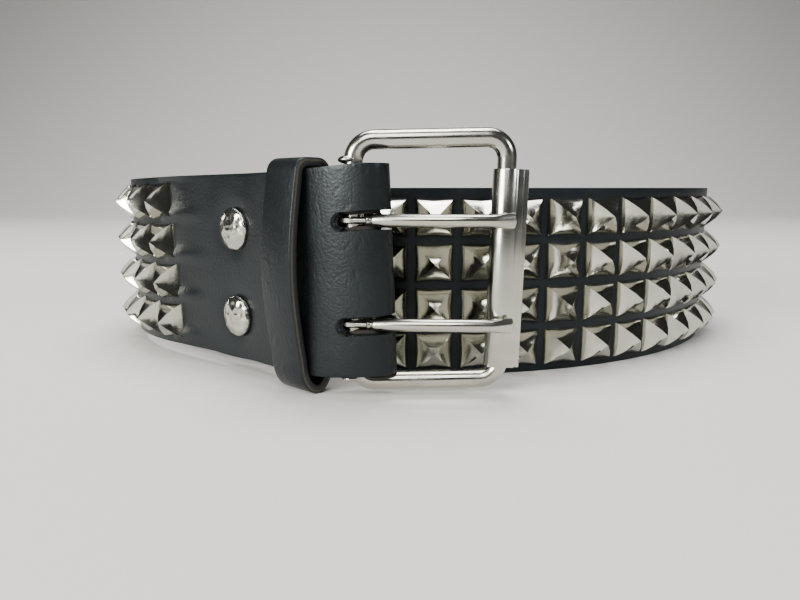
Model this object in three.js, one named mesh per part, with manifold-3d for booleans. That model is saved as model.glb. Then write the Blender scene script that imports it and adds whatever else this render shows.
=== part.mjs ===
// Studded belt standing on its edge as an open loop: a black leather strap with four rows of
// pyramid studs, folded round the heel bar of a two-prong roller buckle and closed there by two
// snaps. A leather keeper rides on the doubled end. The buckle is undone and the tail lies inside.
// Millimetres, +Z up, seen from -Y. The origin is the middle of the part's box, on the table.
import * as THREE from 'three';
import { mergeVertices } from 'three/addons/utils/BufferGeometryUtils.js';
import Module from 'manifold-3d';

// Strap
const loopLength = 900;
const strapWidth = 57;
const strapThickness = 3;
const returnLength = 65;
const tipRadius = 22;
const plainStep = 3;
const tailStep = 8;

// Studs, in rows along the strap
const studRows = 4;
const studPitch = 13.72;
const studBase = 11.8;
const studHeight = 6.3;
const studShoulderWidth = 7.6;
const studShoulderHeight = 3.1;
const studSink = 0.4;
const plainBuckleEnd = 83.1;
const plainTail = 143;

// Fold round the heel bar
const foldGap = 6.5;
const layerGap = 0.3;
const foldRise = 7.4;
const strapLean = 5.4;
const slotHeight = 5.2;
const slotReach = 9;

// Buckle frame of round wire
const wireDiameter = 5.2;
const frameWidth = 40.6;
const frameHeight = 66.2;
const frameCorner = 5.5;
const frameLow = 1.7;
const frameRise = 0.8;
const frameLean = 1;
const heelAlong = 5.5;
const shoulderDiameter = 6;
const shoulderHeight = 2.4;
const shoulderOffset = 1.2;

// Roller of folded sheet on the side bar
const rollerDiameter = 7.8;
const rollerWall = 0.5;
const rollerLength = 54;
const rollerLow = 8.9;
const rollerTilt = 0.7;
const lipReach = 5.5;
const lipFront = 3.15;
const lipThickness = 2;
const lipStep = 1.5;
const lipStepDepth = 0.8;

// Prongs hinged on the heel bar
const prongDiameter = 3.5;
const prongSpacing = 28.2;
const prongHeight = 35.3;
const prongOverRoller = 2.6;
const prongTipLength = 6;
const prongTipFlat = 0.45;
const prongTipSpread = 1.2;
const hookThickness = 1.4;
const hookHeight = 3;
const runningGap = 0.3;

// Keeper
const keeperAlong = 23.5;
const keeperWidth = 12.7;
const keeperThickness = 2.6;
const keeperSlack = 2.2;
const keeperTopCorner = 3.4;
const keeperFoot = 9.5;
const keeperBelly = 0.9;
const keeperLow = 0.1;
const keeperHeadroom = 1;

// Snaps through both layers
const snapAlong = 52.3;
const snapSpacing = 27.1;
const snapHeight = 32;
const snapDiameter = 13;
const snapCrown = 2;
const snapRim = 0.7;
const snapPostDiameter = 4;
const snapDiscDiameter = 9;
const snapDiscThickness = 1.1;
const snapClearance = 0.3;

// Holes in the tail for the prongs, in pairs
const holeDiameter = 4.6;
const holePairs = 5;
const holeSpacing = 25.4;
const holeFromTip = 36;

// The strap's way round, seen from above: share of its length from the fold, the heading in
// degrees turned from straight left towards the back, its lower edge's height as a share of the
// fold's, and how far its cross lines lean back at the top, as a share of the largest lean.
const loopPlan = [
  { along: 0, heading: 2, rise: 1, lean: 0.37 },
  { along: 0.0067, heading: 15, rise: 0.93, lean: 0.37 },
  { along: 0.0133, heading: 27, rise: 0.86, lean: 0.37 },
  { along: 0.02, heading: 36, rise: 0.81, lean: 0.37 },
  { along: 0.0267, heading: 42, rise: 0.77, lean: 0.37 },
  { along: 0.0356, heading: 46, rise: 0.73, lean: 0.37 },
  { along: 0.0489, heading: 44, rise: 0.7, lean: 0.4 },
  { along: 0.0667, heading: 38, rise: 0.68, lean: 0.46 },
  { along: 0.0844, heading: 37.8, rise: 0.65, lean: 0.71 },
  { along: 0.1, heading: 40.2, rise: 0.61, lean: 0.93 },
  { along: 0.111, heading: 45.8, rise: 0.58, lean: 0.96 },
  { along: 0.133, heading: 58.9, rise: 0.54, lean: 1 },
  { along: 0.144, heading: 71.9, rise: 0.51, lean: 0.88 },
  { along: 0.158, heading: 83.6, rise: 0.49, lean: 0.75 },
  { along: 0.183, heading: 94.7, rise: 0.42, lean: 0.62 },
  { along: 0.217, heading: 103.3, rise: 0.34, lean: 0.45 },
  { along: 0.256, heading: 114.2, rise: 0.24, lean: 0.25 },
  { along: 0.3, heading: 129.5, rise: 0.14, lean: 0 },
  { along: 0.389, heading: 173.4, rise: 0, lean: 0 },
  { along: 0.478, heading: 220, rise: 0, lean: 0 },
  { along: 0.516, heading: 234, rise: 0, lean: 0 },
  { along: 0.556, heading: 246, rise: 0, lean: 0 },
  { along: 0.586, heading: 256, rise: 0, lean: 0 },
  { along: 0.608, heading: 265, rise: 0, lean: 0 },
  { along: 0.669, heading: 306, rise: 0, lean: 0 },
  { along: 0.714, heading: 326, rise: 0, lean: 0 },
  { along: 0.804, heading: 361, rise: 0, lean: 0 },
  { along: 0.834, heading: 374, rise: 0, lean: 0 },
  { along: 0.854, heading: 384, rise: 0, lean: 0 },
  { along: 0.882, heading: 398, rise: 0, lean: 0 },
  { along: 0.91, heading: 415, rise: 0, lean: 0 },
  { along: 0.932, heading: 430, rise: 0, lean: 0 },
  { along: 0.96, heading: 446, rise: 0, lean: 0 },
  { along: 1, heading: 458, rise: 0, lean: 0 },
];

// How far the return layer lies behind the front one: share of the return's length, and share
// of the fold's open gap that is left there.
const returnPlan = [
  { along: 0, open: 1 },
  { along: 0.13, open: 1 },
  { along: 0.18, open: 0.6 },
  { along: 0.23, open: 0.16 },
  { along: 0.27, open: 0 },
  { along: 1, open: 0 },
];

const wasm = await Module();
wasm.setup();

function toSolid(geometry) {
  const bare = geometry.clone();
  bare.deleteAttribute('normal');
  bare.deleteAttribute('uv');
  const merged = mergeVertices(bare, 1e-4);
  return new wasm.Manifold(new wasm.Mesh({
    numProp: 3,
    vertProperties: new Float32Array(merged.attributes.position.array),
    triVerts: new Uint32Array(merged.index.array),
  }));
}

function toGeometry(solid) {
  const mesh = solid.getMesh();
  const geometry = new THREE.BufferGeometry();
  geometry.setAttribute('position', new THREE.BufferAttribute(mesh.vertProperties, 3));
  geometry.setIndex(new THREE.BufferAttribute(mesh.triVerts, 1));
  geometry.computeVertexNormals();
  return geometry;
}

// Moves every vertex of a geometry by a function of its position.
function reshape(geometry, move) {
  const position = geometry.attributes.position;
  const point = new THREE.Vector3();
  for (let i = 0; i < position.count; i += 1) {
    move(point.fromBufferAttribute(position, i));
    position.setXYZ(i, point.x, point.y, point.z);
  }
  return geometry;
}

// A value from a table with the column along, in straight steps between its rows.
function fromTable(table, name, along) {
  const next = table.findIndex((row) => row.along >= along);
  if (next < 1) {
    return table[next < 0 ? table.length - 1 : 0][name];
  }
  const a = table[next - 1];
  const b = table[next];
  return a[name] + (b[name] - a[name]) * (along - a.along) / (b.along - a.along);
}

// The front layer's middle line, walked once in short steps from the fold.
const walkStep = 0.5;
const walked = [{ x: 0, y: 0 }];
for (let along = 0; along < loopLength; along += walkStep) {
  const heading = THREE.MathUtils.degToRad(
    fromTable(loopPlan, 'heading', (along + walkStep / 2) / loopLength));
  const last = walked[walked.length - 1];
  walked.push({
    x: last.x - walkStep * Math.cos(heading),
    y: last.y + walkStep * Math.sin(heading),
  });
}

const up = new THREE.Vector3(0, 0, 1);

// The place on the strap a distance from the fold: the middle line, the direction towards the
// tip, the direction into the loop, the lower edge's height and the lean for each millimetre up.
function place(along) {
  const step = Math.min(Math.floor(along / walkStep), walked.length - 2);
  const part = along / walkStep - step;
  const a = walked[step];
  const b = walked[step + 1];
  const heading = THREE.MathUtils.degToRad(fromTable(loopPlan, 'heading', along / loopLength));
  return {
    middle: new THREE.Vector3(a.x + (b.x - a.x) * part, a.y + (b.y - a.y) * part, 0),
    forward: new THREE.Vector3(-Math.cos(heading), Math.sin(heading), 0),
    inward: new THREE.Vector3(Math.sin(heading), Math.cos(heading), 0),
    rise: foldRise * fromTable(loopPlan, 'rise', along / loopLength),
    lean: strapLean * fromTable(loopPlan, 'lean', along / loopLength) / strapWidth,
  };
}

// The distance between the middle lines of the two layers.
function layerDistance(along) {
  const open = fromTable(returnPlan, 'open', along / returnLength);
  return strapThickness + layerGap + (foldGap - layerGap) * open;
}

const foldStart = place(0);
const foldRadius = layerDistance(0) / 2;
const foldCentre = foldStart.middle.clone().addScaledVector(foldStart.inward, foldRadius);
const heelPlace = place(heelAlong);
const heel = heelPlace.middle.clone().addScaledVector(heelPlace.inward, layerDistance(heelAlong) / 2);
const studColumns = Math.floor((loopLength - plainBuckleEnd - plainTail) / studPitch);
const studEnd = plainBuckleEnd + studColumns * studPitch;

// Stations along the strap's whole middle line, from the hidden end of the return layer, round
// the fold and the loop, to the tip. Each holds the distance from the fold and the lower edge.
function strapStations() {
  const stations = [];
  const returnSteps = Math.ceil(returnLength / plainStep);
  for (let i = returnSteps; i > 0; i -= 1) {
    const along = returnLength * i / returnSteps;
    const here = place(along);
    const point = here.middle.clone().addScaledVector(here.inward, layerDistance(along));
    stations.push({ ...here, point, along: -along });
  }
  const turns = 10;
  for (let i = 0; i <= turns; i += 1) {
    const angle = Math.PI * i / turns;
    const point = foldCentre.clone()
      .addScaledVector(foldStart.inward, foldRadius * Math.cos(angle))
      .addScaledVector(foldStart.forward, -foldRadius * Math.sin(angle));
    stations.push({ ...foldStart, point, along: 0 });
  }
  const plainSteps = Math.ceil(plainBuckleEnd / plainStep);
  for (let i = 1; i < plainSteps; i += 1) {
    const along = plainBuckleEnd * i / plainSteps;
    stations.push({ ...place(along), point: place(along).middle, along });
  }
  for (let i = 0; i <= studColumns; i += 1) {
    const along = plainBuckleEnd + i * studPitch;
    stations.push({ ...place(along), point: place(along).middle, along });
  }
  const straightTail = loopLength - tipRadius - studEnd;
  const tailSteps = Math.ceil(straightTail / tailStep);
  for (let i = 1; i <= tailSteps; i += 1) {
    const along = studEnd + straightTail * i / tailSteps;
    stations.push({ ...place(along), point: place(along).middle, along });
  }
  const tipSteps = 6;
  for (let i = 1; i <= tipSteps; i += 1) {
    const along = loopLength - tipRadius * (1 - Math.sin(Math.PI / 2 * i / tipSteps));
    stations.push({ ...place(along), point: place(along).middle, along });
  }
  stations.forEach((station, i) => {
    const before = stations[Math.max(i - 1, 0)].point;
    const after = stations[Math.min(i + 1, stations.length - 1)].point;
    const travel = after.clone().sub(before).normalize();
    station.outward = new THREE.Vector3(-travel.y, travel.x, 0);
  });
  return stations;
}

const stations = strapStations();

// A square stud with steep sides below and flatter ones above, its height along Y.
function studGeometry() {
  const corner = Math.SQRT2 / 2;
  const profile = [
    new THREE.Vector2(0, -studSink),
    new THREE.Vector2(studBase * corner, -studSink),
    new THREE.Vector2(studShoulderWidth * corner, studShoulderHeight),
    new THREE.Vector2(0, studHeight),
  ];
  return new THREE.LatheGeometry(profile, 4).rotateY(Math.PI / 4);
}

// A flat stadium from one x to another, lying in the X-Z plane and cut through along Y.
function slotCutter(left, right, height, middle, depth) {
  const radius = height / 2;
  const shape = new THREE.Shape();
  shape.moveTo(right, -radius);
  shape.lineTo(right, radius);
  shape.absarc(left + radius, 0, radius, Math.PI / 2, Math.PI * 3 / 2, false);
  shape.closePath();
  const cutter = new THREE.ExtrudeGeometry(shape, { depth, bevelEnabled: false, curveSegments: 8 });
  cutter.translate(0, 0, -depth / 2).rotateX(Math.PI / 2);
  return cutter.translate(0, middle.y, middle.z);
}

// A round cutter through the strap at a place, along its thickness.
function holeCutter(centre, direction, diameter, depth) {
  const cutter = new THREE.CylinderGeometry(diameter / 2, diameter / 2, depth, 12);
  const turn = new THREE.Quaternion().setFromUnitVectors(new THREE.Vector3(0, 1, 0), direction);
  return cutter.applyQuaternion(turn).translate(centre.x, centre.y, centre.z);
}

const prongLevels = [prongHeight + prongSpacing / 2, prongHeight - prongSpacing / 2];
const snapPlace = place(snapAlong);
const snapLevels = [snapHeight + snapSpacing / 2, snapHeight - snapSpacing / 2];

function strap() {
  const count = stations.length;
  const strip = new THREE.BoxGeometry(1, 1, 1, count - 1, 1, 1);
  reshape(strip, (vertex) => {
    const station = stations[Math.round((vertex.x + 0.5) * (count - 1))];
    const toTip = Math.max(tipRadius - (loopLength - station.along), 0);
    const halfWidth = strapWidth / 2 - tipRadius + Math.sqrt(tipRadius ** 2 - toTip ** 2);
    const height = Math.sign(vertex.z) * (toTip > 0 ? halfWidth : strapWidth / 2);
    const side = Math.sign(vertex.y) * strapThickness / 2;
    vertex.copy(station.point).addScaledVector(station.outward, side);
    vertex.addScaledVector(station.forward, station.lean * height);
    vertex.z = station.rise + strapWidth / 2 + height;
  });
  let solid = toSolid(strip);
  if (solid.volume() < 0) {
    throw new Error('the strip is inside out');
  }

  const stud = studGeometry();
  const first = stations.findIndex((station) => station.along === plainBuckleEnd);
  for (let column = 0; column < studColumns; column += 1) {
    const a = stations[first + column];
    const b = stations[first + column + 1];
    const forward = b.point.clone().sub(a.point).normalize();
    const outward = new THREE.Vector3(-forward.y, forward.x, 0);
    const face = a.point.clone().add(b.point).multiplyScalar(0.5)
      .addScaledVector(outward, strapThickness / 2);
    const middle = (a.rise + b.rise) / 2 + strapWidth / 2;
    const lean = (a.lean + b.lean) / 2;
    const along = up.clone().addScaledVector(forward, lean).normalize();
    for (let row = 0; row < studRows; row += 1) {
      const height = (row - (studRows - 1) / 2) * studPitch;
      const frame = new THREE.Matrix4().makeBasis(along, outward, along.clone().cross(outward));
      frame.setPosition(face.clone().addScaledVector(forward, lean * height).setZ(middle + height));
      solid = solid.add(toSolid(stud.clone().applyMatrix4(frame)));
    }
  }

  const through = 3 * (foldGap + 2 * strapThickness);
  for (const level of prongLevels) {
    const middle = new THREE.Vector3(0, heel.y, level);
    const left = foldStart.middle.x - slotReach;
    const right = foldStart.middle.x + foldRadius + 2 * strapThickness;
    solid = solid.subtract(toSolid(slotCutter(left, right, slotHeight, middle, through)));
  }
  for (const level of snapLevels) {
    const centre = snapPlace.middle.clone();
    centre.z = level;
    const hole = snapPostDiameter + 2 * snapClearance;
    solid = solid.subtract(toSolid(holeCutter(centre, snapPlace.inward, hole, through)));
  }
  for (let pair = 0; pair < holePairs; pair += 1) {
    const here = place(loopLength - holeFromTip - pair * holeSpacing);
    for (const side of [-1, 1]) {
      const centre = here.middle.clone();
      centre.z = here.rise + strapWidth / 2 + side * prongSpacing / 2;
      const depth = 3 * strapThickness;
      solid = solid.subtract(toSolid(holeCutter(centre, here.inward, holeDiameter, depth)));
    }
  }
  return toGeometry(solid);
}

// The keeper's section across the strap: sides with a slight belly, rounded shoulders and a
// hanging round foot.
function keeperOutline(low, high, half, corner, foot) {
  const outline = new THREE.Path();
  const middle = (low + foot + high - corner) / 2;
  outline.moveTo(half, low + foot);
  outline.quadraticCurveTo(half + 2 * keeperBelly, middle, half, high - corner);
  outline.absarc(half - corner, high - corner, corner, 0, Math.PI / 2, false);
  outline.lineTo(corner - half, high);
  outline.absarc(corner - half, high - corner, corner, Math.PI / 2, Math.PI, false);
  outline.quadraticCurveTo(-half - 2 * keeperBelly, middle, -half, low + foot);
  outline.absellipse(0, low + foot, half, foot, Math.PI, Math.PI * 2, false);
  return outline;
}

function keeper() {
  const here = place(keeperAlong);
  const distance = layerDistance(keeperAlong);
  const innerHalf = (distance + strapThickness) / 2 + keeperSlack;
  const innerHigh = here.rise + strapWidth + keeperHeadroom;
  const outer = keeperOutline(keeperLow, innerHigh + keeperThickness,
    innerHalf + keeperThickness, keeperTopCorner, keeperFoot);
  const inner = keeperOutline(keeperLow + keeperThickness, innerHigh,
    innerHalf, keeperTopCorner - keeperThickness, keeperFoot - keeperThickness);
  const shape = new THREE.Shape(outer.getPoints(6));
  shape.holes.push(new THREE.Path(inner.getPoints(6)));
  const band = new THREE.ExtrudeGeometry(shape, { depth: keeperWidth, bevelEnabled: false });
  band.translate(0, 0, -keeperWidth / 2);
  const frame = new THREE.Matrix4().makeBasis(here.inward, up, here.inward.clone().cross(up));
  frame.setPosition(here.middle.clone().addScaledVector(here.inward, distance / 2));
  return band.applyMatrix4(frame);
}

// The wire's middle line as a rounded rectangle, from the heel bar's foot, counter-clockwise.
function frameRing() {
  const corners = [
    { x: frameWidth - frameCorner, z: frameCorner, quarter: -1 },
    { x: frameWidth - frameCorner, z: frameHeight - frameCorner, quarter: 0 },
    { x: frameCorner, z: frameHeight - frameCorner, quarter: 1 },
    { x: frameCorner, z: frameCorner, quarter: 2 },
  ];
  const cornerSteps = 5;
  const ring = [];
  for (const corner of corners) {
    for (let i = 0; i <= cornerSteps; i += 1) {
      const angle = Math.PI / 2 * (corner.quarter + i / cornerSteps);
      const outward = new THREE.Vector3(Math.cos(angle), 0, Math.sin(angle));
      const middle = new THREE.Vector3(corner.x, 0, corner.z).addScaledVector(outward, frameCorner);
      ring.push({ middle, outward });
    }
  }
  return ring;
}

// Follows the frame's slight skew: the heel bar stays upright, the side bar stands a little
// higher and leans.
function skewFrame(vertex) {
  const share = vertex.x / frameWidth;
  vertex.x += frameLean * share * (vertex.z - frameHeight / 2) / frameHeight;
  vertex.z += frameRise * share;
}

const frameOrigin = new THREE.Vector3(heel.x, heel.y, frameLow + wireDiameter / 2);

function buckleFrame() {
  const ring = frameRing();
  const sides = 12;
  const wire = new THREE.TorusGeometry(2, 1, sides, ring.length);
  reshape(wire, (vertex) => {
    const turn = (Math.atan2(vertex.y, vertex.x) / (2 * Math.PI) + 1) % 1;
    const { middle, outward } = ring[Math.round(turn * ring.length) % ring.length];
    const out = (Math.hypot(vertex.x, vertex.y) - 2) * wireDiameter / 2;
    const across = -vertex.z * wireDiameter / 2;
    vertex.copy(middle).addScaledVector(outward, out);
    vertex.y += across;
  });
  let solid = toSolid(wire);
  const foldTop = heelPlace.rise + strapWidth;
  const levels = [
    foldTop + layerGap + shoulderHeight / 2 - frameOrigin.z,
    heelPlace.rise - layerGap - shoulderHeight / 2 - frameOrigin.z,
  ];
  for (const level of levels) {
    const shoulder = new THREE.SphereGeometry(0.5, 12, 8).rotateX(Math.PI / 2);
    shoulder.scale(shoulderDiameter, shoulderDiameter, shoulderHeight);
    shoulder.translate(-shoulderOffset, 0, level);
    solid = solid.add(toSolid(shoulder));
  }
  return reshape(toGeometry(solid), skewFrame);
}

// The side bar's middle at a height, in the frame's own place.
function sideBar(level) {
  const vertex = new THREE.Vector3(frameWidth, 0, level);
  skewFrame(vertex);
  return vertex;
}

const rollerMiddle = sideBar(rollerLow + rollerLength / 2 - frameOrigin.z - frameRise);
const barLean = Math.atan(frameLean / frameHeight);
const rollerLean = barLean + THREE.MathUtils.degToRad(rollerTilt);

function roller() {
  const radius = rollerDiameter / 2;
  const lipBack = lipFront - lipThickness;
  const backAngle = -Math.asin(lipBack / radius);
  const frontAngle = 2 * Math.PI - Math.asin(lipFront / radius);
  const shape = new THREE.Shape();
  shape.moveTo(lipReach, -lipBack);
  shape.lineTo(radius * Math.cos(backAngle), -lipBack);
  shape.absarc(0, 0, radius, backAngle, frontAngle, false);
  shape.lineTo(lipReach - lipStep, -lipFront);
  shape.lineTo(lipReach - lipStep, -lipFront + lipStepDepth);
  shape.lineTo(lipReach, -lipFront + lipStepDepth);
  shape.closePath();
  const bore = new THREE.Path();
  bore.absarc(0, 0, radius - rollerWall, 0, Math.PI * 2, true);
  shape.holes.push(bore);
  const tube = new THREE.ExtrudeGeometry(shape, {
    depth: rollerLength, bevelEnabled: false, curveSegments: 9,
  });
  return tube.translate(0, 0, -rollerLength / 2);
}

// A prong in its own place: the hook round the heel bar at the origin, the shank towards +X.
function prong() {
  const barRadius = wireDiameter / 2 + runningGap;
  const shankRadius = prongDiameter / 2;
  const tipX = frameWidth + prongOverRoller;
  const startY = -(barRadius + shankRadius / 2);
  const endY = -(rollerDiameter / 2 + runningGap + shankRadius);
  const length = Math.hypot(tipX, endY - startY);
  const round = shankRadius * 0.4;
  const profile = [
    new THREE.Vector2(0, 0),
    new THREE.Vector2(shankRadius * 0.8, 0),
    new THREE.Vector2(shankRadius, prongTipLength / 2),
    new THREE.Vector2(shankRadius, length - prongTipLength),
    new THREE.Vector2(shankRadius, length - prongTipLength / 2),
    new THREE.Vector2(shankRadius, length - round),
    new THREE.Vector2(shankRadius - round, length),
    new THREE.Vector2(0, length),
  ];
  const shank = new THREE.LatheGeometry(profile, 12);
  reshape(shank, (vertex) => {
    const tip = Math.max((vertex.y - length + prongTipLength) / prongTipLength, 0);
    const thin = 1 - (1 - prongTipFlat) * tip;
    vertex.x = -shankRadius + (vertex.x + shankRadius) * thin;
    vertex.z *= 1 + (prongTipSpread - 1) * Math.min(2 * tip, 1);
  });
  const forward = new THREE.Vector3(tipX, endY - startY, 0).normalize();
  const outward = new THREE.Vector3(forward.y, -forward.x, 0);
  const frame = new THREE.Matrix4().makeBasis(outward, forward, outward.clone().cross(forward));
  frame.setPosition(0, startY, 0);
  const hookShape = new THREE.Shape();
  hookShape.absarc(0, 0, barRadius + hookThickness, 0, Math.PI * 2, false);
  const hook = new THREE.ExtrudeGeometry(hookShape, {
    depth: hookHeight, bevelEnabled: false, curveSegments: 10,
  }).translate(0, 0, -hookHeight / 2);
  const bore = new THREE.CylinderGeometry(barRadius, barRadius, 3 * hookHeight, 20);
  const solid = toSolid(shank.applyMatrix4(frame))
    .add(toSolid(hook))
    .subtract(toSolid(bore.rotateX(Math.PI / 2)));
  return toGeometry(solid);
}

// A snap with a domed cap outside, a post through both layers and a disc inside, along +Y.
function snap() {
  const inside = -(strapThickness / 2 + layerDistance(snapAlong) + snapClearance);
  const outside = strapThickness / 2 + snapClearance;
  const post = snapPostDiameter / 2;
  const profile = [
    new THREE.Vector2(0, inside - snapDiscThickness),
    new THREE.Vector2(snapDiscDiameter / 2, inside - snapDiscThickness),
    new THREE.Vector2(snapDiscDiameter / 2, inside),
    new THREE.Vector2(post, inside),
    new THREE.Vector2(post, outside),
    new THREE.Vector2(snapDiameter / 2, outside),
    new THREE.Vector2(snapDiameter / 2, outside + snapRim),
    new THREE.Vector2(snapDiameter * 0.42, outside + snapRim + snapCrown * 0.45),
    new THREE.Vector2(snapDiameter * 0.25, outside + snapRim + snapCrown * 0.85),
    new THREE.Vector2(0, outside + snapRim + snapCrown),
  ];
  return new THREE.LatheGeometry(profile, 20);
}

const leather = new THREE.MeshStandardMaterial({ color: 0x16191b, roughness: 0.5, metalness: 0 });
const nickel = new THREE.MeshStandardMaterial({ color: 0xc8c8c0, roughness: 0.2, metalness: 1 });

function named(name, geometry, material) {
  const mesh = new THREE.Mesh(geometry, material);
  mesh.name = name;
  return mesh;
}

const belt = new THREE.Group();
belt.add(named('strap', strap(), leather.clone()));
belt.add(named('keeper', keeper(), leather.clone()));

for (const [index, name] of ['snap_upper', 'snap_lower'].entries()) {
  const mesh = named(name, snap(), nickel.clone());
  const outward = snapPlace.inward.clone().negate();
  const frame = new THREE.Matrix4().makeBasis(up, outward, up.clone().cross(outward));
  mesh.quaternion.setFromRotationMatrix(frame);
  mesh.position.set(snapPlace.middle.x, snapPlace.middle.y, snapLevels[index]);
  belt.add(mesh);
}

const buckle = new THREE.Group();
buckle.position.copy(frameOrigin);
buckle.add(named('buckle_frame', buckleFrame(), nickel.clone()));
const rollerMesh = named('roller', roller(), nickel.clone());
rollerMesh.position.copy(rollerMiddle);
rollerMesh.rotation.y = rollerLean;
buckle.add(rollerMesh);
for (const [index, name] of ['prong_upper', 'prong_lower'].entries()) {
  const mesh = named(name, prong(), nickel.clone());
  mesh.position.z = prongLevels[index] - frameOrigin.z;
  buckle.add(mesh);
}
belt.add(buckle);

// The origin is the middle of the whole box, on the table.
const group = new THREE.Group();
group.add(belt);
const box = new THREE.Box3().setFromObject(belt, true);
belt.position.set(-(box.min.x + box.max.x) / 2, -(box.min.y + box.max.y) / 2, -box.min.z);

export default group;
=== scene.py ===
# A black leather belt with four rows of nickel pyramid studs, standing on its edge as an open loop,
# its two-prong roller buckle undone. Metres, +Z up, seen from -Y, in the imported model's frame.
import math

import bpy
from mathutils import Matrix, Vector, noise


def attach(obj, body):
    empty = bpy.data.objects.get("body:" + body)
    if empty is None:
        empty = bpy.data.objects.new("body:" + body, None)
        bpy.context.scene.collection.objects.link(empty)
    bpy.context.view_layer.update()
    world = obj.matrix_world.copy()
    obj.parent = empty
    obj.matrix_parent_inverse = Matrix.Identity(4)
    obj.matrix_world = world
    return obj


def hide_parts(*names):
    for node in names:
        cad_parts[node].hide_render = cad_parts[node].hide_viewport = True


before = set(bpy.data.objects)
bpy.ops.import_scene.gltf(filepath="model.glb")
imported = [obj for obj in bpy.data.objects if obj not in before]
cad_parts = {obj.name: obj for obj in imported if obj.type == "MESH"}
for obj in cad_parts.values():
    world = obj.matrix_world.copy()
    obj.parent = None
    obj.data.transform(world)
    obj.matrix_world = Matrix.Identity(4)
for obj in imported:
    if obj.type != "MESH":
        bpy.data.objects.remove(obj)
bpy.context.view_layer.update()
mm = 0.001


# Camera. It stands low in front of the buckle and looks slightly down, a little above the strap.
camera_place = (-10.934 * mm, -301.724 * mm, 57.8 * mm)
camera_pitch = 9.74
camera_lens = 29.25

camera_data = bpy.data.cameras.new("camera")
camera_data.lens = camera_lens
camera_data.clip_start = 0.01
camera = bpy.data.objects.new("camera", camera_data)
camera.location = camera_place
camera.rotation_euler = (math.radians(90 - camera_pitch), 0, 0)
bpy.context.scene.collection.objects.link(camera)
bpy.context.scene.camera = camera


# Floor. A pale seamless sheet, flat under the belt and swept up behind it.
floor_colour = "#CFCDC9"
floor_reach = 3.0
floor_back = 1.1
floor_rise = 1.6
floor_cuts = 59


def linear(colour):
    """An sRGB hex colour as linear RGBA."""
    channels = [int(colour[i:i + 2], 16) / 255 for i in (1, 3, 5)]
    return [c / 12.92 if c <= 0.04045 else ((c + 0.055) / 1.055) ** 2.4 for c in channels] + [1]


def add_node(tree, kind, settings=None, inputs=None):
    """Adds a node, sets it, and gives its inputs values or links."""
    made = tree.nodes.new(kind)
    for name, value in (settings or {}).items():
        setattr(made, name, value)
    for name, value in (inputs or {}).items():
        if isinstance(value, bpy.types.NodeSocket):
            tree.links.new(value, made.inputs[name])
        else:
            made.inputs[name].default_value = value
    return made


def select_only(piece):
    """Deselects everything, then selects and activates one object."""
    bpy.ops.object.select_all(action="DESELECT")
    piece.select_set(True)
    bpy.context.view_layer.objects.active = piece


bpy.ops.object.select_all(action="DESELECT")
bpy.ops.mesh.primitive_plane_add(size=2 * floor_reach)
floor = bpy.context.object
floor.name = "floor"
select_only(floor)
bpy.ops.object.mode_set(mode="EDIT")
bpy.ops.mesh.subdivide(number_cuts=floor_cuts)
bpy.ops.object.mode_set(mode="OBJECT")
for vertex in floor.data.vertices:
    beyond = max(vertex.co.y - floor_back, 0)
    vertex.co.z = floor_rise * (beyond / (floor_reach - floor_back)) ** 2
bpy.ops.object.shade_smooth()
# Matt paper: one even colour and no gloss.
paper = bpy.data.materials.new("matt_paper")
paper.use_nodes = True
tree = paper.node_tree
shader = tree.nodes["Principled BSDF"]
shader.inputs["Roughness"].default_value = 0.9
shader.inputs["Base Color"].default_value = linear(floor_colour)
floor.data.materials.append(paper)


# Light. One large soft window on the left, a weaker one on the right, lamps above and high in
# front, another that washes the sheet behind, and a dim room.
room_colour = "#8E9091"
room_strength = 0.15
belt_middle = (0, -0.05, 0.03)
lamps = [
    ("window_light", (-0.95, -0.95, 0.42), belt_middle, 0.55, 32, "#FFFDF8"),
    ("side_light", (0.85, -0.65, 0.5), belt_middle, 0.2, 4, "#F4F8FF"),
    ("ceiling_light", (0.0, 0.0, 1.2), belt_middle, 0.5, 11, "#FFFFFF"),
    ("front_light", (-0.2, -0.95, 0.85), belt_middle, 0.6, 9, "#FFFFFF"),
    ("backdrop_light", (0.0, 0.55, 1.5), (0, 1.7, 0.2), 1.2, 34, "#FFFFFF"),
]
for name, place, aim, size, power, colour in lamps:
    lamp_data = bpy.data.lights.new(name, "AREA")
    lamp_data.size = size
    lamp_data.energy = power
    lamp_data.color = linear(colour)[:3]
    lamp = bpy.data.objects.new(name, lamp_data)
    lamp.location = place
    lamp.rotation_euler = (Vector(aim) - Vector(place)).to_track_quat("-Z", "Y").to_euler()
    bpy.context.scene.collection.objects.link(lamp)
world = bpy.data.worlds.new("room")
bpy.context.scene.world = world
world.use_nodes = True
background = world.node_tree.nodes["Background"]
background.inputs["Color"].default_value = linear(room_colour)
background.inputs["Strength"].default_value = room_strength


# Strap. One length of black bridle leather 3 mm thick, cut flat, punched and slotted, then folded
# round the heel bar and laid out along its way round.
loop_length = 900.0
strap_width = 57.0
strap_thickness = 3.0
return_length = 65.0
tip_radius = 22.0
fold_gap = 6.5
layer_gap = 0.3
fold_rise = 7.4
strap_lean = 5.4
edge_round = 0.9
slot_height = 3.3
slot_flare = 1.1
slot_flare_depth = 1.2
slot_reach = 8.6
slot_levels = [13.8, -14.4]
tail_hole_diameter = 4.6
tail_hole_spacing = 25.4
tail_hole_from_tip = 36.0
tail_hole_pairs = 5
tail_hole_level = 14.1
strap_columns = 560
strap_rows = 44
snap_along = 52.3
snap_levels = [11.95, -15.15]
snap_press = 0.75
snap_press_radius = 7.5
stud_pitch = 13.72
pucker_along = 83.1
pucker_length = 10.0
pucker_width = 1.9
pucker_height = 1.1
pucker_drop = 4.2
# The plain margin above the studs widens a little from the keeper to the tail.
margin_more = 1.0
margin_start = 27.0
margin_end = 500.0
margin_foot = 2 * stud_pitch - 1
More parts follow.
